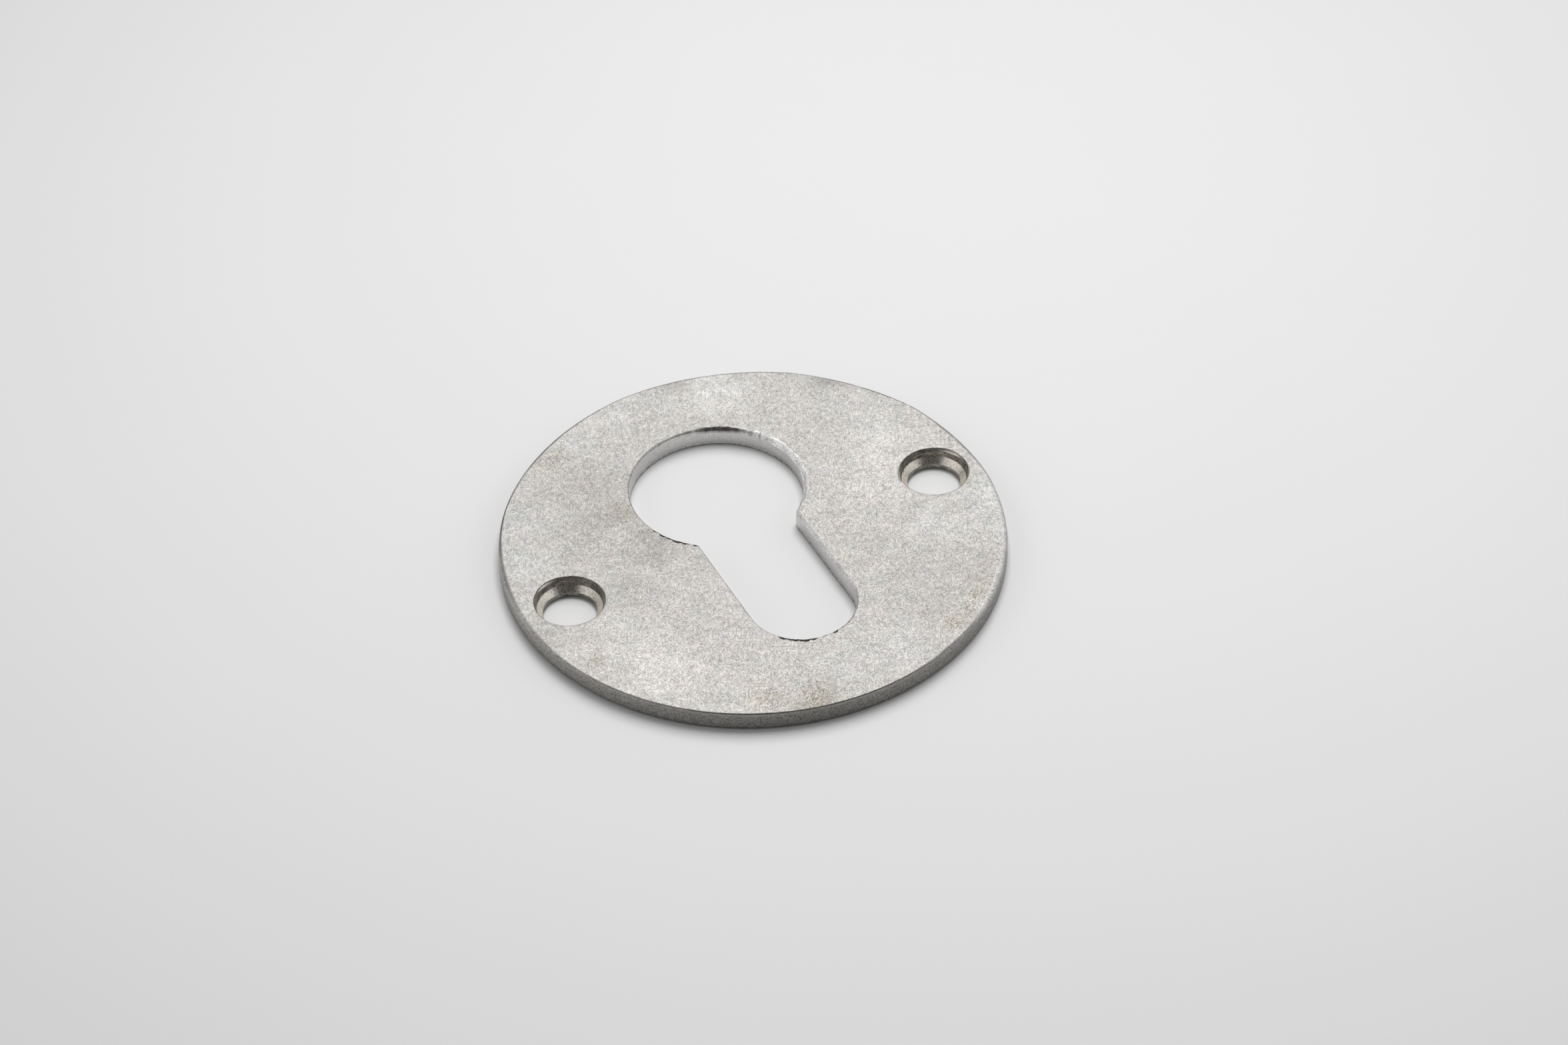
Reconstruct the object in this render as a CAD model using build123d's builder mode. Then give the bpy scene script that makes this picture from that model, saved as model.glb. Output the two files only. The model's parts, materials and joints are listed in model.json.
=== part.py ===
"""Round keyhole escutcheon: one flat metal plate that goes round a profile lock cylinder."""

import os

from build123d import *

# Every length is in millimetres. The origin is the middle of the back face,
# +Z points out of the front face and +Y points up the door.

# The plate, with the soft edges that tumbling leaves.
plate_diameter = 52.0
plate_thickness = 2.1
front_edge_radius = 0.3
back_edge_break = 0.15

# The profile cylinder that passes through: a round head with a narrower web below it.
cylinder_head_diameter = 17.0
cylinder_web_width = 10.0
cylinder_height = 33.0

# The keyhole follows the cylinder's profile, with the same gap all round.
keyhole_clearance = 0.55
keyhole_rise = 0.5
keyhole_corner_radius = 0.6

# The two screw holes, left and right of the keyhole. Each has a broken rim, a
# straight wall below the front face, then a conical seat, then the bore.
screw_edge_distance = 5.2
screw_bore_diameter = 5.5
screw_seat_diameter = 6.7
screw_seat_angle = 90.0
screw_seat_sink = 0.9
screw_rim_break = 0.3

# Sizes that follow from the ones above.
head_opening_radius = cylinder_head_diameter / 2 + keyhole_clearance
web_opening_width = cylinder_web_width + 2 * keyhole_clearance
keyhole_height = cylinder_height + 2 * keyhole_clearance
head_centre_y = keyhole_rise + keyhole_height / 2 - head_opening_radius
web_end_y = keyhole_rise - keyhole_height / 2 + web_opening_width / 2
screw_offset = plate_diameter / 2 - screw_edge_distance

with BuildPart() as escutcheon_plate:
    # The round blank.
    with BuildSketch():
        Circle(plate_diameter / 2)
    extrude(amount=plate_thickness)

    # The keyhole: the head's circle and the web's slot, which ends in a half circle.
    with BuildSketch() as keyhole:
        with Locations((0, head_centre_y)):
            Circle(head_opening_radius)
        with Locations((0, (head_centre_y + web_end_y) / 2)):
            SlotCenterToCenter(head_centre_y - web_end_y, web_opening_width, rotation=90)
        # The two corners where the slot leaves the circle are the only ones between the two centres.
        corners = keyhole.vertices().filter_by_position(
            Axis.Y, web_end_y, head_centre_y, inclusive=(False, False)
        )
        fillet(corners, radius=keyhole_corner_radius)
    extrude(amount=plate_thickness, mode=Mode.SUBTRACT)

    # Tumbling rounds the edges of the front face, and takes the sharpness off the back.
    front_face = escutcheon_plate.faces().sort_by(Axis.Z)[-1]
    fillet(front_face.edges(), radius=front_edge_radius)
    back_face = escutcheon_plate.faces().sort_by(Axis.Z)[0]
    chamfer(back_face.edges(), length=back_edge_break)

    # The screw holes, with the seat sunk below the front face and both rims broken.
    with Locations(Plane.XY.offset(plate_thickness - screw_seat_sink)):
        with GridLocations(2 * screw_offset, 0, 2, 1):
            CounterSinkHole(
                radius=screw_bore_diameter / 2,
                counter_sink_radius=screw_seat_diameter / 2,
                counter_sink_angle=screw_seat_angle,
            )
    hole_edges = escutcheon_plate.edges(Select.LAST).filter_by(GeomType.CIRCLE).group_by(Axis.Z)
    chamfer(hole_edges[-1], length=screw_rim_break)
    chamfer(hole_edges[0], length=back_edge_break)

escutcheon_plate.part.label = "escutcheon_plate"

os.makedirs("parts", exist_ok=True)
export_step(escutcheon_plate.part, "parts/escutcheon_plate.step")
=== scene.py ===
"""Looks for the keyhole escutcheon: one tumbled metal plate on a pale studio floor."""

import json
import math
from dataclasses import dataclass

import bmesh
import bpy
import numpy as np
from mathutils import Matrix, Vector, noise
from mathutils.geometry import delaunay_2d_cdt


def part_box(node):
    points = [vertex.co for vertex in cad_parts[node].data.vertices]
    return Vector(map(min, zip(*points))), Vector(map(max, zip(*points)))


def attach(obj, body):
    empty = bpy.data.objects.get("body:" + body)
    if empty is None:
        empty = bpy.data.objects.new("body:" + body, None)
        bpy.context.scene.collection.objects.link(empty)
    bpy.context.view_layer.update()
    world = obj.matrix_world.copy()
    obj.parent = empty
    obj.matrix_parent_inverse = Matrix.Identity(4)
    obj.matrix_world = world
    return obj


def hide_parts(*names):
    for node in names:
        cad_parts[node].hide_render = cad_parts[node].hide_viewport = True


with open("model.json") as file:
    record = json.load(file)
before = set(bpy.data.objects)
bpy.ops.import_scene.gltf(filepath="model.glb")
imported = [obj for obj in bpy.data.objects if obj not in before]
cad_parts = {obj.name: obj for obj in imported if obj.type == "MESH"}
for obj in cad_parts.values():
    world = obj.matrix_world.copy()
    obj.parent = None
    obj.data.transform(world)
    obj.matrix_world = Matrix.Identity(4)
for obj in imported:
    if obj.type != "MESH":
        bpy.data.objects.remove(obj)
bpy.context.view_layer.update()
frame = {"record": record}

# Lengths below are in millimetres, in the CAD frame: the origin is the middle of the
# back face, +Z points out of the front face and +Y points up towards the keyhole's head.
mm = 0.001
mounts = {mount["name"]: mount for mount in frame["record"]["mounts"]}
low_corner, high_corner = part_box("escutcheon_plate")

# The plate, the keyhole and the screw holes as the CAD model has them.
plate_radius = min(high_corner.x, high_corner.y, -low_corner.x, -low_corner.y) / mm
plate_thickness = (high_corner.z - low_corner.z) / mm
head_centre_y = mounts["keyhole_head"]["pos_m"][1] / mm
head_radius = mounts["keyhole_head"]["dims"]["r_mm"]
slot_half_width = 5.55
slot_end_y = -11.0
corner_radius = 0.6
back_break = 0.15
screw_offset = mounts["screws"]["dims"]["spacing_x_mm"] / 2
bore_radius = mounts["screws"]["dims"]["hole_r_mm"]
seat_radius = 3.35
seat_sink = 0.9
rim_break = 0.3

# The pair of screw holes was drilled a little off the plate's middle.
holes_shift = (0.14, -0.07)

# How finely the mesh is divided.
outer_step = 0.15
keyhole_step = 0.1
screw_step = 0.12
front_step = 0.5
back_step = 1.6
cone_rings = 9
bore_rings = 6

# The points spread over the front and the back keep this far from the edges. Each is shaken
# by a share of their step. Points closer than the last value count as one.
face_margin = 1.2
face_shake = 0.15
front_seed = 11
back_seed = 12
same_point = 1e-7

# How far each edge's own rings reach over the front and the back.
edge_margin = 0.09
band_margin = 0.04
foot_margin = 0.1
rim_margin = 0.75
bore_margin = 0.2

# Tumbling has rounded the edges unevenly. Each place is x, y, how far it reaches, and how much.
outer_edge_radius = 0.17
outer_radius_range = (0.13, 0.75)
outer_foot_radius = 0.25
outer_soft_places = [
    (24, -9, 8, 0.5),
    (25, 3, 8, 0.55),
    (20, 16, 9, 0.45),
    (8, 24, 11, 0.35),
    (-12, 22, 10, 0.3),
    (-25, 4, 9, 0.4),
    (18, -18, 7, 0.5),
    (11, -23.5, 5, 0.25),
]
keyhole_edge_radius = 0.2
keyhole_radius_least = 0.08
keyhole_soft_places = [
    (2.6, 17.1, 1.2, 0.07),
    (4.2, 16.5, 1.2, 0.10),
    (-3.5, 16.8, 3.0, 0.05),
]

# The two corners of the keyhole are too tight for a wide slope, so the widest grows away from them.
corner_y = 1.2
corner_widest = 0.42
corner_relief = 0.2
corner_reach = (1.0, 3.0)

# A thin dark line runs along the outer edge, on the near side and on the far side.
front_line_places = [
    (-21, -15, 6, 0.7),
    (-12, -23, 9, 1.0),
    (0, -26, 9, 1.0),
    (9, -24, 5, 0.6),
]
far_line_places = [
    (-25, 7, 8, 0.6),
    (-22, 14, 9, 0.8),
    (-12, 23, 9, 1.0),
    (0, 26, 9, 1.0),
    (12, 23, 9, 1.0),
    (22, 14, 8, 1.0),
    (25.5, 5, 6, 0.7),
]
line_share = 0.8
line_broken = (-0.8, 0.1)

# The top of the outer side is worn bright, most of all below the near line. Where the outer
# edge is soft it has a painted highlight as bright as a filed edge, and less of it on the far side.
front_worn = 0.35
least_worn = 0.1
soft_highlight = 0.35
soft_highlight_radius = (0.3, 0.6)
far_highlight_loss = 0.6

# Painted light and shade on the outer side: lighter on the left, darker at the front.
side_shading_places = [
    (-26, -2, 9, 0.35),
    (-22, -13, 6, 0.12),
    (-8, -25, 11, -0.22),
]

# Where the keyhole's edge was filed to a rough bright slope, and how far that widens the edge.
filed_places = [
    (7.4, 13.6, 1.3, 0.8),
    (8.5, 11.5, 1.8, 1.0),
    (9.1, 8.8, 2.0, 1.0),
    (8.8, 6.2, 1.8, 1.0),
    (7.6, 3.6, 1.6, 0.9),
    (6.0, 1.3, 1.2, 0.7),
    (5.6, -2.0, 3.2, 0.65),
    (5.6, -6.0, 3.2, 0.6),
    (5.6, -10.0, 2.6, 0.55),
]
filed_width = 0.38

# Where the keyhole's edge is torn and dark, and where a black burr is left on it.
torn_places = [
    (0.0, 17.55, 0.8, 0.42),
    (1.2, 17.45, 0.9, 0.48),
    (2.3, 17.25, 0.8, 0.62),
    (3.2, 17.0, 0.7, 0.9),
    (4.0, 16.7, 0.9, 1.0),
    (4.8, 16.2, 0.9, 1.0),
    (5.6, 15.6, 0.7, 0.85),
    (6.3, 15.0, 0.4, 0.6),
    (6.9, 14.4, 0.3, 0.5),
    (7.5, 13.6, 0.25, 0.45),
    (-2.2, 17.3, 0.6, 0.3),
]
burr_places = [
    (-8.8, 5.1, 0.5, 1.1),
    (-8.3, 4.2, 0.6, 1.0),
    (-7.9, 3.5, 0.5, 1.1),
    (-7.3, 2.7, 0.7, 1.2),
    (-6.7, 2.1, 0.5, 1.0),
    (-5.9, 1.3, 0.4, 1.2),
    (-4.0, -15.0, 0.6, 1.0),
    (-3.2, -15.6, 0.7, 1.3),
    (-2.3, -16.1, 0.7, 1.4),
    (-1.5, -16.4, 0.5, 0.9),
    (-0.2, -16.55, 0.4, 0.5),
    (0.9, -16.5, 0.4, 0.9),
    (1.8, -16.25, 0.6, 0.48),
    (2.7, -15.85, 0.5, 0.52),
    (3.5, -15.3, 0.5, 0.45),
]
torn_share = 0.9
torn_range = (0.15, 0.95)
ragged_range = (0.3, 0.55)

# A burr also darkens a narrow band of the face, which is fully dark where it is wide enough.
burr_width = 0.22
burr_width_range = (0.4, 1.1)
burr_width_level = 0.9
dark_band = (0.0, 0.06)

# How deep the chips in the edges are, by their kind.
plain_chips = 0.02
keyhole_chips = 0.03
torn_chips = 0.05
filed_chips = 0.02
chip_size = 0.22
chip_seed = 3.0
chip_drift = 0.06

# The rounding at the foot of the keyhole's wall, and the burr that stands out from it there.
keyhole_foot_radius = 0.08
foot_burr_level = 0.05

# Noise that makes the edges uneven. Each wave is its height, its size and its seed.
outer_waves = [(0.03, 2.5, 1.0), (0.02, 0.6, 2.0)]
line_waves = [(1.0, 3.0, 3.0)]
keyhole_waves = [(0.05, 0.9, 5.0), (0.03, 0.35, 6.0)]
torn_radius_waves = [(0.05, 0.35, 6.0)]
burr_radius_waves = [(0.07, 0.4, 12.0)]
torn_waves = [(0.25, 0.5, 8.0)]
ragged_waves = [(0.25, 0.6, 7.0)]
burr_width_waves = [(0.5, 0.5, 11.0)]
foot_burr_waves = [(0.03, 0.6, 10.0)]
rim_waves = [(0.03, 1.2, 9.0), (0.025, 0.4, 9.5)]

# The degrees at which a rounded edge has rings: the front edge, and the edge at the foot.
front_turns = range(0, 91, 10)
foot_turns = (30, 60, 90)

# Over which degrees of the front edge, from the face to the wall, each look comes or goes.
side_degrees = (8, 70)
line_comes = (5, 25)
line_goes = (65, 45)
worn_degrees = (45, 70)
filing_and_highlight_degrees = (-5, 30)
burr_degrees = (70, 40)

# A wide soft edge keeps the face's colour for more degrees.
soft_delay = 27
soft_radius = (0.25, 0.5)

# The rings of a wall, as shares of its height from the top, and where the looks come or go on it.
wall_shares = [0.12, 0.25, 0.4, 0.55, 0.7, 0.82, 0.92, 1.0]
worn_shares = (0.2, 0.0)
torn_shares = (0.25, 0.0)
foot_shares = (0.86, 1.0)

# Where a screw hole's rim has a bright nick or a low dent, and where dirt and painted shade
# darken the seat below it, most of all at the far top of each seat's wall.
rim_glint_places = [
    (23.9, 1.9, 1.2, 1.0),
    (-22.1, 3.4, 1.3, 0.6),
]
rim_dent_places = [
    (17.5, 0.7, 0.6, 0.5),
    (17.5, 1.5, 0.7, 0.6),
    (17.75, 2.3, 0.6, 0.5),
]
seat_grime_and_shade_places = [
    (-19.3, 3.1, 1.9, 1.0),
    (-17.5, 0.7, 1.1, 0.8),
    (21.9, 3.3, 2.0, 0.9),
    (24.3, -0.4, 0.8, 0.5),
]

# How much a nick or a dent widens the rim, and how deep it goes.
nick_width = 0.1
nick_depth = 0.06
dent_width = 0.26
dent_depth = 0.06

# The left and right ends of each seat are duller, so they catch more light from above.
seat_dull_places = [
    (-23.4, 1.0, 1.5, 1.0),
    (-18.0, -1.6, 1.5, 1.0),
    (18.2, 1.0, 1.5, 1.0),
    (23.6, -1.6, 1.5, 1.0),
]

# Patches of the face: lighter or darker patches, partly the metal's own tone and partly painted
# light and shade, such as painted shade along the far rim; places that are pale and a little blue,
# and brown dirt.
lightness_and_shade_places = [
    (-11, 9, 3.5, -0.06),
    (-9, 6, 2.5, -0.10),
    (-13, 13, 5.0, -0.07),
    (-9.5, 15, 2.2, -0.06),
    (-12, 1.5, 3.5, -0.05),
    (-9.5, 2.5, 2.5, -0.10),
    (-7, 22.5, 3.5, 0.05),
    (-15, -2, 3.0, -0.07),
    (-17, 7, 3.0, -0.05),
    (6.5, 22, 3.0, 0.18),
    (18.5, 7, 2.5, 0.10),
    (15, 2, 4.0, 0.12),
    (15, 13, 4.0, -0.03),
    (17.5, 17.5, 2.5, -0.05),
    (-17, -14, 4.0, 0.16),
    (-18, -8, 4.0, 0.06),
    (-21.5, -9, 2.2, 0.06),
    (12, -15, 4.0, -0.10),
    (18.5, -15, 2.2, -0.08),
    (9.5, -7, 3.0, -0.05),
    (-5, -24.5, 2.5, -0.12),
    (-11, -22.3, 2.5, 0.1),
    (3, 25.6, 2.0, -0.2),
    (17.8, 18.6, 1.6, -0.15),
    (-25.4, -3, 2.0, -0.12),
]
pale_places = [
    (-10, 22, 2.5, 0.6),
    (-5, 23, 2.5, 0.6),
    (0.5, 23.5, 2.5, 0.6),
    (6.5, 22, 2.8, 0.9),
    (17, 14, 2.8, 0.5),
    (19, 10, 3.0, 0.6),
    (-20, 13, 3.0, 0.6),
    (-22.5, 7, 2.5, 1.0),
    (24, -6, 2.5, 1.0),
    (17, -7, 2.5, 0.7),
    (22, -8.5, 2.5, 0.7),
    (5.5, -21.5, 3.0, 0.7),
    (0, -22.3, 2.5, 0.5),
]
stain_places = [
    (-10.5, 9.5, 2.5, 0.5),
    (-8, 3, 1.6, 0.4),
    (-13, 20, 2.0, 0.6),
    (19.7, -14.7, 1.2, 0.5),
    (17.6, -17.0, 1.2, 0.7),
    (16.0, -18.7, 1.0, 1.0),
    (14.2, -19.8, 1.2, 0.8),
    (11.9, -20.9, 1.4, 0.9),
    (-9.5, -22, 2.2, 0.7),
    (-5, -24.2, 2.2, 1.0),
    (-22, -9, 1.0, 0.8),
]

# Colours of the face and the outer side, as linear red, green, blue and alpha.
face_grey = (0.511, 0.497, 0.476, 1)
pale_tint = (1.05, 1.075, 1.10, 1)
stain_tint = (0.96, 0.945, 0.915, 1)
face_pit = (0.12, 0.10, 0.08, 1)
speck_brown = (0.22, 0.165, 0.11, 1)
side_grey = (0.27, 0.26, 0.247, 1)
filing_and_highlight_white = (0.96, 0.955, 0.945, 1)
worn_grey = (0.50, 0.485, 0.46, 1)
line_grey = (0.10, 0.097, 0.092, 1)
burr_black = (0.03, 0.028, 0.026, 1)
burr_grey = (0.10, 0.095, 0.088, 1)

# Colours of the keyhole's wall.
wall_grey = (0.64, 0.63, 0.615, 1)
wall_pit = (0.07, 0.06, 0.05, 1)
wall_foot = (0.10, 0.09, 0.08, 1)
wall_burr = (0.05, 0.045, 0.04, 1)

# Colours of the screw seats.
seat_wall_grey = (0.32, 0.30, 0.27, 1)
cone_warm = (0.83, 0.775, 0.70, 1)
dirt_black = (0.05, 0.044, 0.032, 1)
grime_and_shade_film = (0.06, 0.054, 0.04, 1)
rim_grey = (0.46, 0.445, 0.42, 1)
nick_white = (0.85, 0.81, 0.75, 1)

# Nearly all of a noise texture lies between these values.
noise_range = (0.3, 0.7)

# The photograph's camera: a long lens above the plate, which is turned on the floor.
picture_width = 2352
picture_height = 1568
lens_length = 100.0
sensor_width = 36.0
camera_elevation = math.radians(42.3)
camera_roll = math.radians(-1.653)
plate_turn = math.radians(25.653)
camera_depth = 446.332
origin_across = 1130.1
origin_down = 825.081

# The studio, in metres: a softbox overhead and behind, a pale card at each side, and a dim room.
# Angles round the plate are measured from the middle of the dim stretch by the camera.
softbox_width = 0.46
softbox_depth = 0.72
softbox_height = 0.75
softbox_behind = 0.42
softbox_right = 0.07
softbox_level = 6.3
card_light = (0.85, 0.85, 0.85, 1)
room_light = (0.125, 0.125, 0.125, 1)
room_middle = math.radians(9)
card_front = (math.radians(36), math.radians(52))
card_back = (math.radians(128), math.radians(148))
card_foot = (math.radians(0), math.radians(12))
card_top = (math.radians(45), math.radians(54))

# The floor, in metres each way, and the gap below the plate that gives its shadow the right look.
floor_reach = 3.0
floor_gap = 0.1
floor_shade = (0.797, 0.797, 0.797, 1)
floor_white = (0.807, 0.807, 0.807, 1)

# A painted pool of light on the floor: palest a little behind the plate, and darker by the square
# of the distance from there.
painted_light_right = 14.0
painted_light_behind = 18.0
painted_light_reach = 205.0
painted_light_rim = 0.58


def smooth(value, low, high):
    """0 at low and 1 at high, with a soft step between. low may be the higher of the two."""
    share = np.clip((np.asarray(value, float) - low) / (high - low), 0, 1)
    return share * share * (3 - 2 * share)


def wander(points, size, seed):
    """Smooth noise from about -1 to 1 at points (x, y), with features of that size."""
    return np.array([noise.noise(Vector((x / size, y / size, seed))) for x, y in points])


def uneven(points, waves):
    """The sum of some waves of noise at the points."""
    return sum(height * wander(points, size, seed) for height, size, seed in waves)


def patches(points, places, blend=np.maximum):
    """The soft round patches at each of the points: the strongest, or their sum with np.add."""
    found = np.zeros(len(points))
    for x, y, reach, amount in places:
        away = np.hypot(points[:, 0] - x, points[:, 1] - y) / reach
        found = blend(found, amount * np.exp(-away * away))
    return found


class Loop:
    """A closed line of points round the plate or an opening, and which way the air lies."""

    def __init__(self, points, air):
        self.points = points
        self.air = air
        self.count = len(points)

    def ring(self, inset, height):
        """Points set back into the metal by inset, at a height. Both may differ by point."""
        xy = self.points - np.broadcast_to(inset, self.count)[:, None] * self.air
        return np.column_stack([xy, np.broadcast_to(height, self.count)])


def arc(centre, radius, start, end, step, air_sign):
    """Points along an arc, and the way the air lies at each: outwards for 1, inwards for -1."""
    count = max(3, math.ceil(abs(end - start) * radius / step))
    turn = np.linspace(start, end, count, endpoint=False)
    out = np.column_stack([np.cos(turn), np.sin(turn)])
    return np.array(centre) + radius * out, air_sign * out


def line(start, end, step, air):
    """Points along a straight line, and the way the air lies at each."""
    start, end = np.array(start, float), np.array(end, float)
    count = max(2, math.ceil(np.linalg.norm(end - start) / step))
    share = np.linspace(0, 1, count, endpoint=False)[:, None]
    return start + share * (end - start), np.tile(np.array(air, float), (count, 1))


def circle_loop(centre, radius, step, air_sign):
    return Loop(*arc(centre, radius, 0, 2 * math.pi, step, air_sign))


def keyhole_loop():
    """The keyhole's outline, anticlockwise from the right corner round the head."""
    reach = head_radius + corner_radius
    lean = math.asin((slot_half_width + corner_radius) / reach)
    side_x = slot_half_width
    fillet_x = slot_half_width + corner_radius
    fillet_y = head_centre_y - reach * math.cos(lean)
    fillet_step = keyhole_step / 2
    quarter = math.pi / 2
    spans = [
        arc((0, head_centre_y), head_radius, lean - quarter, 3 * quarter - lean, keyhole_step, -1),
        arc((-fillet_x, fillet_y), corner_radius, quarter - lean, 0, fillet_step, 1),
        line((-side_x, fillet_y), (-side_x, slot_end_y), keyhole_step, (1, 0)),
        arc((0, slot_end_y), side_x, 2 * quarter, 4 * quarter, keyhole_step, -1),
        line((side_x, slot_end_y), (side_x, fillet_y), keyhole_step, (-1, 0)),
        arc((fillet_x, fillet_y), corner_radius, 2 * quarter, quarter + lean, fillet_step, 1),
    ]
    return Loop(np.vstack([s[0] for s in spans]), np.vstack([s[1] for s in spans]))


# The three finishes of the plate's surfaces, as numbers of its material slots.
face_finish = 0
wall_finish = 1
seat_finish = 2


class Shell:
    """Collects the plate's vertices, faces and the masks that its materials read."""

    masks = ("side", "line", "worn", "filed", "burr", "cone", "rim", "reach", "foot")

    def __init__(self):
        self.points = []
        self.faces = []
        self.finishes = []
        self.values = {name: [] for name in self.masks}
        self.total = 0

    def add(self, xyz, **masks):
        """Adds points with their masks, and returns the points' numbers."""
        first = self.total
        self.points.append(xyz)
        self.total += len(xyz)
        for name in self.masks:
            self.values[name].append(np.broadcast_to(masks.get(name, 0.0), len(xyz)))
        return np.arange(first, self.total)

    def bridge(self, above, below, finish):
        """A strip of faces between two rings."""
        strip = zip(above, np.roll(above, -1), np.roll(below, -1), below)
        self.faces += [[int(i) for i in face] for face in strip]
        self.finishes += [finish] * len(above)

    def fill(self, rings, spread, height):
        """A flat face between the rings, with spread points over it."""
        everything = np.vstack(self.points)
        border = np.concatenate(rings)
        coords = [Vector(p) for p in everything[border, :2]] + [Vector(p) for p in spread]
        fence = set()
        first = 0
        for ring in rings:
            last = first + len(ring) - 1
            fence.update((i, i + 1) for i in range(first, last))
            fence.add((first, last))
            first = last + 1
        faces = delaunay_2d_cdt(coords, sorted(fence), [], 0, same_point)[2]
        neighbours = {}
        for number, face in enumerate(faces):
            for pair in edge_pairs(face):
                neighbours.setdefault(pair, []).append(number)
        # The spread points are all on metal. Growing from them, and never over a ring,
        # leaves the openings out.
        reached = {n for n, face in enumerate(faces) if max(face) >= len(border)}
        growing = list(reached)
        while growing:
            for pair in edge_pairs(faces[growing.pop()]):
                if pair not in fence:
                    fresh = set(neighbours[pair]) - reached
                    reached |= fresh
                    growing += fresh
        inner = self.add(np.column_stack([spread, np.full(len(spread), height)]))
        index = np.concatenate([border, inner])
        self.faces += [[int(index[i]) for i in faces[n]] for n in sorted(reached)]
        self.finishes += [face_finish] * len(reached)


def edge_pairs(face):
    return [tuple(sorted(pair)) for pair in zip(face, [*face[1:], face[0]])]


def in_metal(point, margin):
    """True if a point of the plan is on the plate, at least margin from every edge."""
    x, y = point
    if math.hypot(x, y) > plate_radius - margin:
        return False
    if math.hypot(x, y - head_centre_y) < head_radius + margin:
        return False
    if slot_end_y < y < head_centre_y and abs(x) < slot_half_width + margin:
        return False
    if math.hypot(x, y - slot_end_y) < slot_half_width + margin:
        return False
    return math.hypot(abs(x) - screw_offset, y) > seat_radius + margin


def spread_points(step, seed):
    """A slightly shaken triangular grid of points over the plate's face."""
    row_step = step * math.sqrt(0.75)
    rows = np.arange(-plate_radius, plate_radius, row_step)
    shake = np.random.default_rng(seed)
    points = []
    for number, y in enumerate(rows):
        xs = np.arange(-plate_radius + step * (number % 2) / 2, plate_radius, step)
        spots = np.column_stack([xs, np.full(len(xs), y)])
        points.append(spots + shake.uniform(-face_shake, face_shake, spots.shape) * step)
    points = np.vstack(points)
    return points[[in_metal(p, face_margin) for p in points]]


# An amount is one number, or one for each point of a loop.
Amount = float | np.ndarray


@dataclass
class Edge:
    """How the edges of one outline look."""

    wall: int
    radius: Amount
    chips: Amount
    foot_radius: float
    foot_burr: Amount = 0.0
    burr: Amount = 0.0
    burr_band: Amount = 0.0
    torn: Amount = 0.0
    line: Amount = 0.0
    worn: Amount = 0.0
    filed: Amount = 0.0
    side: float = 0.0


def rounded_edge(shell, loop, edge):
    """The rounded front edge, the straight wall and the rounded back edge of one outline."""
    top = plate_thickness
    band = edge.radius + edge.burr_band
    band_burr = edge.burr * smooth(edge.burr_band, *dark_band)
    rings = [
        shell.add(loop.ring(band + edge_margin, top)),
        shell.add(loop.ring(band + band_margin, top), burr=band_burr),
    ]
    finishes = [face_finish]
    delay = soft_delay * smooth(edge.radius, *soft_radius)
    for degrees in front_turns:
        turn = math.radians(degrees)
        depth = edge.chips * math.sin(2 * turn)
        rough = depth * (0.5 + 0.5 * wander(loop.points, chip_size, chip_seed + chip_drift * degrees))
        inset = edge.radius * (1 - math.sin(turn)) + rough
        height = top - edge.radius * (1 - math.cos(turn)) - 0.5 * rough
        burr = edge.burr * smooth(degrees, *burr_degrees)
        rings.append(
            shell.add(
                loop.ring(inset, height),
                side=edge.side * smooth(degrees - delay, *side_degrees),
                line=edge.line * smooth(degrees, *line_comes) * smooth(degrees, *line_goes),
                worn=edge.worn * smooth(degrees, *worn_degrees),
                filed=edge.filed * smooth(degrees, *filing_and_highlight_degrees),
                burr=np.maximum(burr, edge.torn),
            )
        )
        finishes.append(face_finish)
    foot = edge.foot_radius
    for share in wall_shares:
        rings.append(
            shell.add(
                loop.ring(0.0, (top - edge.radius) * (1 - share) + foot * share),
                side=edge.side,
                worn=edge.worn * smooth(share, *worn_shares),
                filed=edge.filed,
                burr=edge.torn * smooth(share, *torn_shares),
                foot=smooth(share, *foot_shares),
            )
        )
        finishes.append(edge.wall)
    for degrees in foot_turns:
        turn = math.radians(degrees)
        inset = foot * (1 - math.cos(turn)) - edge.foot_burr * math.cos(turn)
        height = foot * (1 - math.sin(turn))
        rings.append(shell.add(loop.ring(inset, height), side=edge.side, foot=1.0))
        finishes.append(edge.wall)
    rings.append(shell.add(loop.ring(foot + foot_margin, 0.0)))
    finishes.append(face_finish)
    for above, below, finish in zip(rings, rings[1:], finishes):
        shell.bridge(above, below, finish)
    return rings[0], rings[-1]


def outer_edge(shell):
    """The outer edge, with its soft places and dark lines."""
    loop = circle_loop((0, 0), plate_radius, outer_step, 1)
    points = loop.points
    radius = outer_edge_radius + patches(points, outer_soft_places) + uneven(points, outer_waves)
    radius = np.clip(radius, *outer_radius_range)
    front = patches(points, front_line_places)
    far = patches(points, far_line_places)
    broken = smooth(uneven(points, line_waves), *line_broken)
    edge = Edge(
        wall=face_finish,
        radius=radius,
        chips=plain_chips,
        foot_radius=outer_foot_radius,
        line=line_share * np.maximum(front, far) * broken,
        worn=np.maximum(front_worn * front, least_worn),
        # The soft places get a painted highlight, weaker on the far side.
        filed=soft_highlight * smooth(radius, *soft_highlight_radius) * (1 - far_highlight_loss * far),
        side=1.0,
    )
    return rounded_edge(shell, loop, edge)


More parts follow.
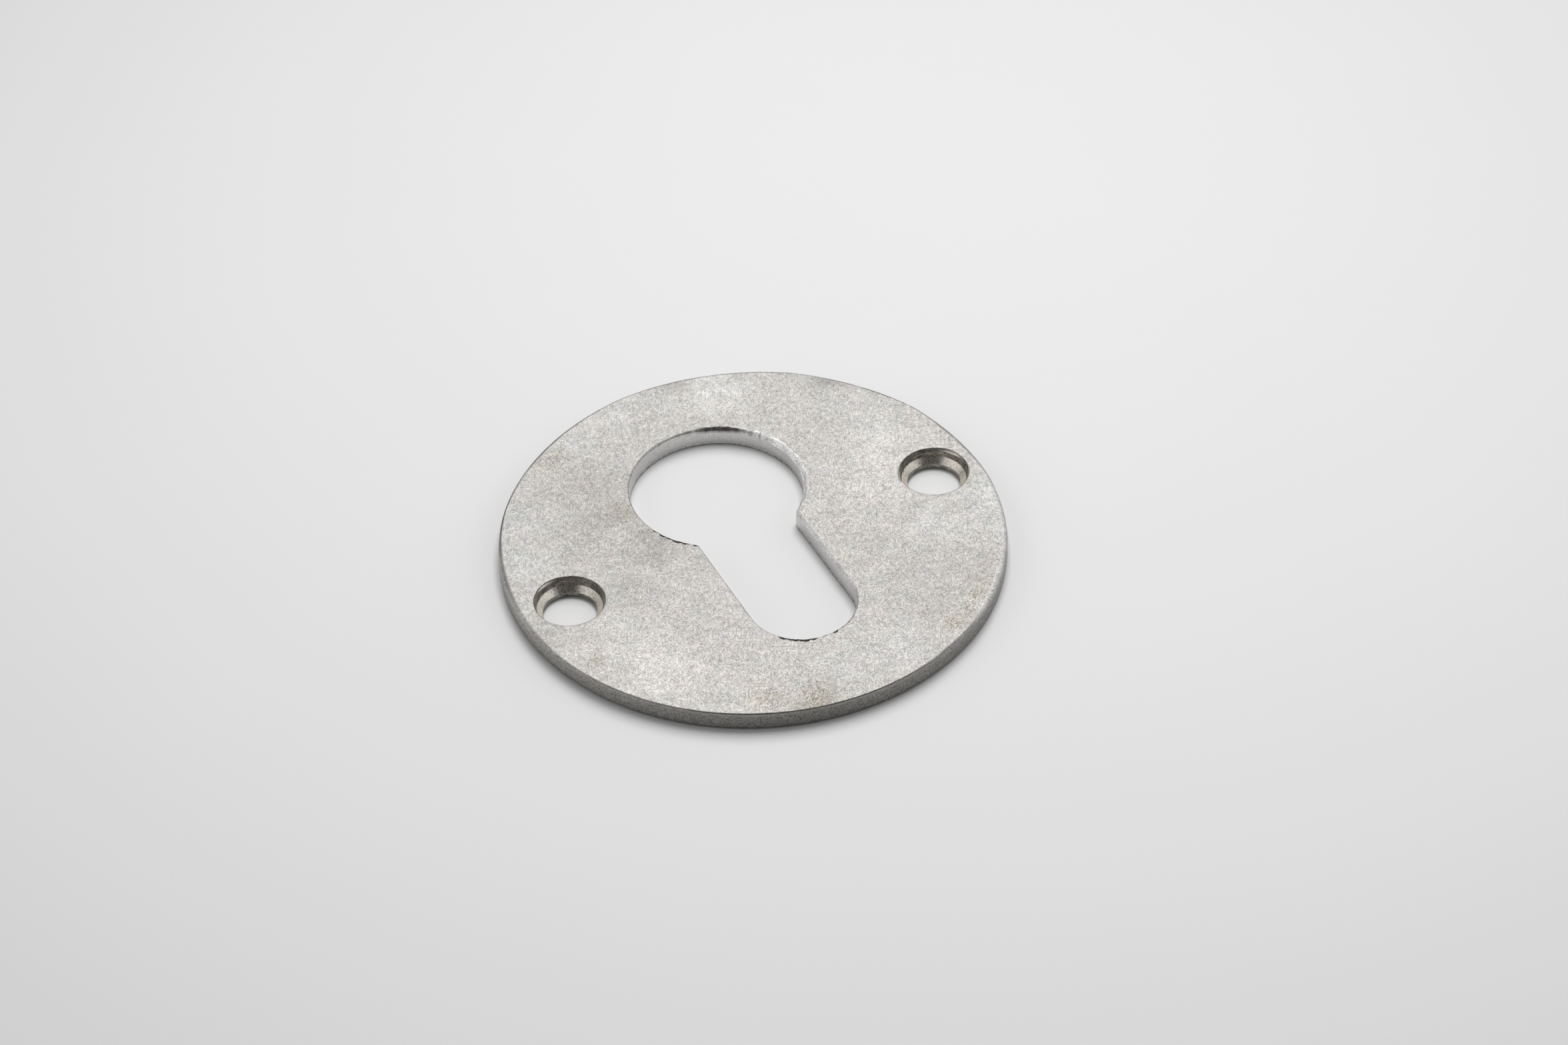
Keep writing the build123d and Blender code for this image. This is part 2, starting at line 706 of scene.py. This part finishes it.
def keyhole_edge(shell):
    """The keyhole's edge, filed, torn and burred in places."""
    loop = keyhole_loop()
    points = loop.points
    torn = patches(points, torn_places)
    burr = patches(points, burr_places)
    filed = patches(points, filed_places)
    radius = keyhole_edge_radius + patches(points, keyhole_soft_places) + filed_width * filed
    radius = radius + uneven(points, keyhole_waves)
    radius = radius + torn * uneven(points, torn_radius_waves)
    radius = radius + burr * uneven(points, burr_radius_waves)
    from_corner = np.hypot(np.abs(points[:, 0]) - slot_half_width, points[:, 1] - corner_y)
    widest = corner_widest + corner_relief * smooth(from_corner, *corner_reach)
    ragged = smooth(burr + uneven(points, ragged_waves), *ragged_range)
    band = burr_width * smooth(burr, *burr_width_range) * ragged
    edge = Edge(
        wall=wall_finish,
        radius=np.clip(radius, keyhole_radius_least, widest),
        chips=keyhole_chips + torn_chips * np.maximum(torn, burr) + filed_chips * filed,
        foot_radius=keyhole_foot_radius,
        foot_burr=foot_burr_level + uneven(points, foot_burr_waves),
        burr=ragged,
        burr_band=band * (burr_width_level + uneven(points, burr_width_waves)),
        torn=torn_share * smooth(torn + uneven(points, torn_waves), *torn_range),
        filed=filed,
    )
    return rounded_edge(shell, loop, edge)


def screw_hole(shell, centre):
    """One screw hole: the broken rim, the short straight wall, the conical seat and the bore."""
    loop = circle_loop(centre, seat_radius, screw_step, -1)
    top = plate_thickness
    seat_top = top - seat_sink
    cone_depth = seat_radius - bore_radius
    bore_top = seat_top - cone_depth
    rim = rim_break + uneven(loop.points, rim_waves)
    glint = patches(loop.points, rim_glint_places)
    dent = patches(loop.points, rim_dent_places)
    nicked = rim + nick_width * glint
    # Each ring of the profile is its inset, its height, and the masks that it has.
    profile = [
        (rim_margin, top, {"rim": 1.0}),
        (nicked + 0.06 + dent_width * dent, top, {"rim": 1 - dent}),
        (
            nicked + 0.24 * dent,
            top - 0.015 - dent_depth * dent,
            {"rim": (1 - 0.6 * glint) * (1 - dent)},
        ),
        (
            nicked - 0.05 + 0.12 * dent,
            top - 0.06 - nick_depth * glint - 0.05 * dent,
            {"worn": 1.6 * dent, "rim": dent},
        ),
        (rim * 0.8, top - 0.18, {"worn": np.maximum(glint, dent)}),
        (rim * (0.72 - 0.2 * glint), top - 0.22, {"worn": glint}),
        (rim * (0.5 - 0.1 * glint), top - 0.33, {}),
        (rim * 0.3, top - 0.5, {}),
        (rim * 0.12, seat_top + 0.06, {}),
        (0.0, seat_top + 0.012, {"cone": 0.3}),
    ]
    for share in np.linspace(0.02, 0.98, cone_rings):
        profile.append((-cone_depth * share, seat_top - cone_depth * share, {"cone": 1.0}))
    for share in np.linspace(0.04, 1, bore_rings):
        profile.append((-cone_depth, bore_top * (1 - share) + back_break * share, {}))
    profile.append((back_break - cone_depth, 0.0, {}))
    profile.append((back_break - cone_depth + bore_margin, 0.0, {}))
    rings = []
    for inset, height, masks in profile:
        rings.append(shell.add(loop.ring(inset, height), reach=seat_radius + inset, **masks))
    last = len(rings) - 2
    for number, (above, below) in enumerate(zip(rings, rings[1:])):
        shell.bridge(above, below, face_finish if number in (0, last) else seat_finish)
    return rings[0], rings[-1]


def plate_shell():
    """The whole surface of the plate."""
    shell = Shell()
    borders = [
        outer_edge(shell),
        keyhole_edge(shell),
        screw_hole(shell, (holes_shift[0] - screw_offset, holes_shift[1])),
        screw_hole(shell, (holes_shift[0] + screw_offset, holes_shift[1])),
    ]
    fronts = [border[0] for border in borders]
    backs = [border[1] for border in borders]
    shell.fill(fronts, spread_points(front_step, front_seed), plate_thickness)
    shell.fill(backs, spread_points(back_step, back_seed), 0.0)
    return shell


class Graph:
    """Short ways to add and join shader nodes. Lengths in its textures are in millimetres."""

    def __init__(self, tree):
        self.tree = tree
        tree.nodes.clear()

    def node(self, kind, inputs, **settings):
        made = self.tree.nodes.new(kind)
        for name, value in settings.items():
            setattr(made, name, value)
        for name, value in inputs.items():
            if isinstance(value, bpy.types.NodeSocket):
                self.tree.links.new(value, made.inputs[name])
            else:
                made.inputs[name].default_value = value
        return made

    def math(self, operation, first, second=0.0, third=0.0):
        inputs = {0: first, 1: second, 2: third}
        return self.node("ShaderNodeMath", inputs, operation=operation).outputs[0]

    def vector(self, operation, first, second=(0, 0, 0)):
        return self.node("ShaderNodeVectorMath", {0: first, 1: second}, operation=operation).outputs

    def axes(self, where):
        return self.node("ShaderNodeSeparateXYZ", {0: where}).outputs

    def place(self):
        """Where a point is on the object, in millimetres."""
        where = self.node("ShaderNodeTexCoord", {}).outputs["Object"]
        return self.stretch(where, 1 / mm, 1 / mm, 1 / mm)

    def stretch(self, where, x, y, z):
        return self.vector("MULTIPLY", where, (x, y, z))[0]

    def turn(self, where, angle):
        inputs = {"Vector": where, "Angle": angle}
        return self.node("ShaderNodeVectorRotate", inputs, rotation_type="Z_AXIS").outputs[0]

    def remap(self, value, over, to, **settings):
        inputs = {
            "Value": value,
            "From Min": over[0],
            "From Max": over[1],
            "To Min": to[0],
            "To Max": to[1],
        }
        return self.node("ShaderNodeMapRange", inputs, **settings).outputs[0]

    def step(self, value, over, to=(0.0, 1.0)):
        """Takes one range to another by a soft step, level past both ends."""
        return self.remap(value, over, to, interpolation_type="SMOOTHSTEP")

    def slope(self, value, over, to):
        """Takes one range to another by a straight line, which goes on past both ends."""
        return self.remap(value, over, to, clamp=False)

    def between(self, share, first, second):
        """A number that is first where share is 0, and second where it is 1."""
        return self.slope(share, (0.0, 1.0), (first, second))

    def weigh(self, *parts):
        """The sum of some values, each times its weight."""
        total = 0.0
        for value, weight in parts:
            total = self.math("MULTIPLY_ADD", value, weight, total)
        return total

    def vary(self, level, mask, amount):
        """Raises or lowers a level by a share of itself, where the mask is."""
        return self.math("MULTIPLY", level, self.math("MULTIPLY_ADD", mask, amount, 1.0))

    def mix(self, share, first, second, blend="MIX"):
        inputs = {0: share, 6: first, 7: second}
        return self.node("ShaderNodeMix", inputs, data_type="RGBA", blend_type=blend).outputs[2]

    def scale(self, colour, level):
        return self.mix(1.0, colour, level, "MULTIPLY")

    def cover(self, colour, other, mask, strength):
        """Another colour over a colour, where the mask is."""
        return self.mix(self.math("MULTIPLY", mask, strength), colour, other)

    def mask(self, name):
        return self.node("ShaderNodeAttribute", {}, attribute_name=name).outputs["Fac"]

    def noise(self, where, size, detail=2.0, roughness=0.5):
        inputs = {"Vector": where, "Scale": 1 / size, "Detail": detail, "Roughness": roughness}
        return self.node("ShaderNodeTexNoise", inputs).outputs["Fac"]

    def tints(self, where, size):
        """Random colours, in soft patches of that size."""
        inputs = {"Vector": where, "Scale": 1 / size, "Detail": 1.0}
        return self.node("ShaderNodeTexNoise", inputs).outputs["Color"]

    def cells(self, where, size, dimensions):
        """Random cells, and the random numbers of each."""
        inputs = {"Vector": where, "Scale": 1 / size, "Randomness": 1.0}
        cells = self.node("ShaderNodeTexVoronoi", inputs, voronoi_dimensions=dimensions).outputs
        return cells, self.node("ShaderNodeSeparateColor", {0: cells["Color"]}).outputs

    def scratches(self, where, cell, length, width):
        """One short straight mark in each cell, turned at random, and a random number for each."""
        cells, pick = self.cells(where, cell, "2D")
        local = self.vector("SUBTRACT", where, cells["Position"])[0]
        turned = self.axes(self.turn(local, self.math("MULTIPLY", pick[0], 2 * math.pi)))
        along = self.math("ABSOLUTE", turned[0])
        across = self.math("ABSOLUTE", turned[1])
        ends = self.step(along, (length * 0.5, length * 0.3))
        body = self.step(across, (width * 0.5, width * 0.1))
        return self.math("MULTIPLY", ends, body), pick[1]

    def pits(self, where, cell, size, share):
        """Round spots, in a share of the cells."""
        cells, pick = self.cells(where, cell, "3D")
        spot = self.step(cells["Distance"], (size / cell, 0.5 * size / cell))
        return self.math("MULTIPLY", spot, self.math("LESS_THAN", pick[0], share))

    def metal(self, colour, rough, bump_height, bump_depth):
        bump_inputs = {"Strength": 1.0, "Distance": bump_depth * mm, "Height": bump_height}
        bump = self.node("ShaderNodeBump", bump_inputs).outputs[0]
        inputs = {"Base Color": colour, "Roughness": rough, "Metallic": 1.0, "Normal": bump}
        shader = self.node("ShaderNodeBsdfPrincipled", inputs)
        self.node("ShaderNodeOutputMaterial", {"Surface": shader.outputs[0]})


def new_graph(name):
    made = bpy.data.materials.new(name)
    made.use_nodes = True
    return made, Graph(made.node_tree)


def face_material():
    """The tumbled face, its rounded edges and the plate's outer side."""
    made, g = new_graph("tumbled_face")
    place = g.place()
    # Rolling the sheet has drawn its grain out a little in one direction.
    rolled = g.stretch(g.turn(place, plate_turn), 1, 0.74, 1)
    flat = g.stretch(rolled, 1, 1, 0)

    # Broad colour: grey metal, with patches that have uneven borders and a faint play of tints.
    # The lighter and darker patches are partly the metal's own tone and partly painted light and
    # shade.
    ripple = g.noise(place, size=2.6, detail=3.0, roughness=0.6)
    border = g.slope(ripple, noise_range, (0.4, 1.6))
    colour = g.mix(0.035, face_grey, g.tints(place, size=1.3), "OVERLAY")
    colour = g.scale(colour, g.math("MULTIPLY_ADD", g.mask("lightness_and_shade"), border, 1.0))
    colour = g.cover(colour, g.scale(colour, pale_tint), g.mask("pale"), strength=border)
    colour = g.cover(colour, g.scale(colour, stain_tint), g.mask("stain"), strength=border)

    # Grain at three sizes, then short marks of the tumbling stones, lighter or darker.
    fine = g.noise(rolled, size=0.16, detail=0.8, roughness=0.6)
    middle = g.noise(rolled, size=0.42, detail=1.0)
    coarse = g.noise(place, size=1.6)
    grain = g.weigh((fine, 0.7), (middle, 0.9), (coarse, 0.5))
    level = g.slope(grain, (0.65, 1.45), (0.71, 1.29))
    fleck, pick = g.scratches(flat, cell=0.3, length=0.3, width=0.1)
    level = g.vary(level, fleck, amount=g.between(pick, -0.21, 0.2))
    scratch, pick = g.scratches(flat, cell=2.4, length=2.0, width=0.07)
    level = g.vary(level, scratch, amount=g.between(pick, -0.14, 0.14))
    dots = g.pits(rolled, cell=0.42, size=0.085, share=0.6)
    level = g.vary(level, dots, amount=-0.26)
    colour = g.scale(colour, level)

    # Pits, and brown specks that crowd together in the dirt.
    pits = g.pits(place, cell=1.7, size=0.11, share=0.35)
    colour = g.cover(colour, face_pit, pits, strength=0.55)
    crowd = g.weigh((g.mask("stain"), 0.23), (g.noise(place, size=0.17, detail=1.0), 1.0))
    colour = g.cover(colour, speck_brown, g.step(crowd, (0.69, 0.76)), strength=0.55)

    # The filed slopes are bright, and the soft outer edges carry the same brightness as a painted
    # highlight.
    # The outer side is darker and browner, with faint lines along it, and painted light and shade in
    # places.
    filed = g.mask("filed")
    colour = g.mix(filed, colour, g.scale(filing_and_highlight_white, g.slope(fine, noise_range, (0.72, 1.28))))
    lines = g.noise(g.stretch(place, 0.25, 0.25, 1), size=0.16, roughness=0.6)
    side_level = g.slope(g.weigh((lines, 0.6), (fine, 1.0)), (0.5, 1.1), (0.5, 1.5))
    # Painted light and shade on the outer side, lighter on the left and darker at the front.
    side_level = g.math("MULTIPLY", side_level, g.math("ADD", g.mask("side_shading"), 1.0))
    side = g.mask("side")
    colour = g.mix(side, colour, g.scale(side_grey, side_level))
    colour = g.mix(g.mask("worn"), colour, worn_grey)
    colour = g.mix(g.mask("line"), colour, line_grey)

    # Torn edges and burrs are black with grey streaks.
    streaks = g.noise(g.stretch(place, 1, 1, 4), size=0.25, roughness=0.7)
    burr_colour = g.mix(g.step(streaks, (0.35, 0.65)), burr_black, burr_grey)
    colour = g.mix(g.mask("burr"), colour, burr_colour)

    rough = g.step(fine, noise_range, (0.72, 0.64))
    rough = g.between(side, rough, 0.45)
    rough = g.between(filed, rough, 0.5)
    g.metal(colour, rough, bump_height=fine, bump_depth=0.006)
    return made


def wall_material():
    """The milled wall of the keyhole: bright, with tool lines and small pits."""
    made, g = new_graph("milled_wall")
    place = g.place()
    upright = g.noise(g.stretch(place, 1, 1, 0.12), size=0.22, roughness=0.6)
    level_lines = g.noise(g.stretch(place, 0.1, 0.1, 1), size=0.13, roughness=0.6)
    fine = g.noise(place, size=0.15, detail=1.0, roughness=0.6)
    lines = g.weigh((upright, 0.3), (level_lines, 0.4), (fine, 0.9))
    colour = g.scale(wall_grey, g.slope(lines, (0.55, 1.05), (0.82, 1.16)))
    pits = g.pits(place, cell=0.6, size=0.09, share=0.3)
    colour = g.cover(colour, wall_pit, pits, strength=0.8)

    # Dark dashes along the foot, and the dark of the torn edge above.
    dash = g.noise(g.stretch(place, 1, 1, 2.5), size=0.45, roughness=0.6)
    dash = g.math("MULTIPLY", g.step(dash, (0.48, 0.6)), g.mask("foot"))
    colour = g.cover(colour, wall_foot, dash, strength=0.65)
    colour = g.mix(g.mask("burr"), colour, wall_burr)

    rough = g.step(fine, noise_range, (0.42, 0.32))
    g.metal(colour, rough, bump_height=lines, bump_depth=0.008)
    return made


def seat_material():
    """The turned screw seats: shiny warm cones with rings from the tool, and dirt and painted shade in
    places.
    """
    made, g = new_graph("turned_seat")
    place = g.place()
    height = g.axes(place)[2]
    ring_place = g.node("ShaderNodeCombineXYZ", {0: g.mask("reach"), 1: height, 2: 0.0}).outputs[0]
    rings = g.noise(ring_place, size=0.06, roughness=0.6)
    fine = g.noise(place, size=0.14, roughness=0.7)
    blotch = g.noise(g.stretch(place, 1, 1, 2.5), size=0.7, detail=3.0, roughness=0.65)

    # The wall is dull and blotchy, and the cone below it bright.
    cone = g.mask("cone")
    wall_colour = g.scale(seat_wall_grey, g.slope(blotch, noise_range, (0.4, 1.6)))
    colour = g.mix(cone, wall_colour, cone_warm)
    grain = g.weigh((rings, 0.35), (fine, 0.65))
    colour = g.scale(colour, g.slope(grain, noise_range, (0.8, 1.16)))

    # Dirt lies in spots everywhere, and a thin dark film lies where the mask is: partly dirt, partly
    # painted shade at the far top of each seat's wall.
    grime_and_shade = g.mask("grime_and_shade")
    spots = g.weigh((grime_and_shade, 0.12), (g.noise(place, size=0.2, roughness=0.7), 1.0))
    colour = g.cover(colour, dirt_black, g.step(spots, (0.5, 0.85)), strength=0.85)
    colour = g.cover(colour, grime_and_shade_film, grime_and_shade, strength=0.35)

    # The rim has the face's grey, with a few bright nicks.
    rim = g.mask("rim")
    worn = g.mask("worn")
    colour = g.mix(rim, colour, g.scale(rim_grey, g.slope(fine, noise_range, (0.7, 1.3))))
    colour = g.mix(worn, colour, nick_white)

    rough = g.between(g.math("MAXIMUM", cone, worn), 0.42, 0.29)
    rough = g.between(g.mask("seat_dull"), rough, 0.66)
    rough = g.between(rim, rough, 0.68)
    g.metal(colour, rough, bump_height=grain, bump_depth=0.003)
    return made


def make_plate():
    shell = plate_shell()
    points = np.vstack(shell.points)
    mesh = bpy.data.meshes.new("plate_tumbled")
    mesh.from_pydata((points * mm).tolist(), [], shell.faces)
    masks = {name: np.concatenate(shell.values[name]) for name in shell.masks}
    masks["lightness_and_shade"] = patches(points, lightness_and_shade_places, np.add)
    masks["pale"] = patches(points, pale_places)
    masks["stain"] = patches(points, stain_places)
    masks["grime_and_shade"] = patches(points, seat_grime_and_shade_places)
    masks["seat_dull"] = patches(points, seat_dull_places)
    masks["side_shading"] = patches(points, side_shading_places, np.add)
    for name, values in masks.items():
        layer = mesh.attributes.new(name, "FLOAT", "POINT")
        layer.data.foreach_set("value", values.astype(np.float32))
    for finish in (face_material(), wall_material(), seat_material()):
        mesh.materials.append(finish)
    mesh.polygons.foreach_set("material_index", shell.finishes)
    work = bmesh.new()
    work.from_mesh(mesh)
    bmesh.ops.recalc_face_normals(work, faces=work.faces)
    for face in work.faces:
        face.smooth = True
    work.to_mesh(mesh)
    work.free()
    plate = bpy.data.objects.new("plate_tumbled", mesh)
    bpy.context.scene.collection.objects.link(plate)
    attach(plate, "root")
    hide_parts("escutcheon_plate")


# Turns a direction as the photograph sees it back into the plate's own frame.
turn_back = Matrix.Rotation(-plate_turn, 3, "Z")


def make_camera():
    forward = Vector((0, math.cos(camera_elevation), -math.sin(camera_elevation)))
    level_right = Vector((1, 0, 0))
    level_up = Vector((0, math.sin(camera_elevation), math.cos(camera_elevation)))
    right = math.cos(camera_roll) * level_right + math.sin(camera_roll) * level_up
    up = math.cos(camera_roll) * level_up - math.sin(camera_roll) * level_right
    focal = lens_length / sensor_width * picture_width
    across = (origin_across - picture_width / 2) / focal
    down = (origin_down - picture_height / 2) / focal
    place = -camera_depth * mm * (forward + across * right - down * up)
    data = bpy.data.cameras.new("photo_camera")
    data.lens = lens_length
    data.sensor_width = sensor_width
    data.sensor_fit = "HORIZONTAL"
    data.clip_start = 0.01
    data.clip_end = 20.0
    camera = bpy.data.objects.new("photo_camera", data)
    axes = Matrix((turn_back @ right, turn_back @ up, turn_back @ -forward)).transposed()
    camera.matrix_world = Matrix.Translation(turn_back @ place) @ axes.to_4x4()
    bpy.context.scene.collection.objects.link(camera)
    bpy.context.scene.camera = camera


def make_floor():
    mesh = bpy.data.meshes.new("studio_floor")
    plan = [(-1, -1), (1, -1), (1, 1), (-1, 1)]
    corners = [(x * floor_reach, y * floor_reach, -floor_gap * mm) for x, y in plan]
    mesh.from_pydata(corners, [], [(0, 1, 2, 3)])
    floor = bpy.data.objects.new("studio_floor", mesh)
    bpy.context.scene.collection.objects.link(floor)
    made, g = new_graph("studio_floor")
    # A painted pool of light in the floor's colour.
    middle = turn_back @ Vector((painted_light_right, painted_light_behind, 0))
    away = g.vector("DISTANCE", g.place(), middle)["Value"]
    square = g.math("POWER", g.math("MINIMUM", away, painted_light_reach), 2.0)
    painted_light = g.slope(square, (0.0, painted_light_reach**2), (1.0, painted_light_rim))
    cloud = g.noise(g.place(), size=25.0)
    colour = g.scale(g.mix(cloud, floor_shade, floor_white), painted_light)
    shader = g.node("ShaderNodeBsdfDiffuse", {"Color": colour})
    g.node("ShaderNodeOutputMaterial", {"Surface": shader.outputs[0]})
    mesh.materials.append(made)


def make_light():
    lamp = bpy.data.lights.new("softbox", "AREA")
    lamp.shape = "RECTANGLE"
    lamp.size = softbox_width
    lamp.size_y = softbox_depth
    lamp.energy = softbox_level * math.pi * softbox_width * softbox_depth
    softbox = bpy.data.objects.new("softbox", lamp)
    place = turn_back @ Vector((softbox_right, softbox_behind, softbox_height))
    softbox.matrix_world = Matrix.Translation(place) @ turn_back.to_4x4()
    bpy.context.scene.collection.objects.link(softbox)

    world = bpy.data.worlds.new("studio")
    bpy.context.scene.world = world
    world.use_nodes = True
    g = Graph(world.node_tree)
    sight = g.node("ShaderNodeTexCoord", {}).outputs["Generated"]
    rise = g.axes(sight)[2]
    level = g.vector("NORMALIZE", g.stretch(sight, 1, 1, 0))[0]
    front = turn_back @ Vector((math.sin(room_middle), -math.cos(room_middle), 0))
    facing = g.vector("DOT_PRODUCT", level, front)["Value"]
    # The cards are where all four of these are 1: past their front, before their back, above
    # their foot and below their top.
    card = g.step(facing, (math.cos(card_front[0]), math.cos(card_front[1])))
    card = g.math("MULTIPLY", card, g.step(facing, (math.cos(card_back[1]), math.cos(card_back[0]))))
    card = g.math("MULTIPLY", card, g.step(rise, (math.sin(card_foot[0]), math.sin(card_foot[1]))))
    card = g.math("MULTIPLY", card, g.step(rise, (math.sin(card_top[1]), math.sin(card_top[0]))))
    colour = g.mix(card, room_light, card_light)
    back = g.node("ShaderNodeBackground", {"Color": colour, "Strength": 1.0})
    g.node("ShaderNodeOutputWorld", {"Surface": back.outputs[0]})


make_plate()
make_floor()
make_light()
make_camera()
bpy.context.scene.view_settings.view_transform = "Standard"
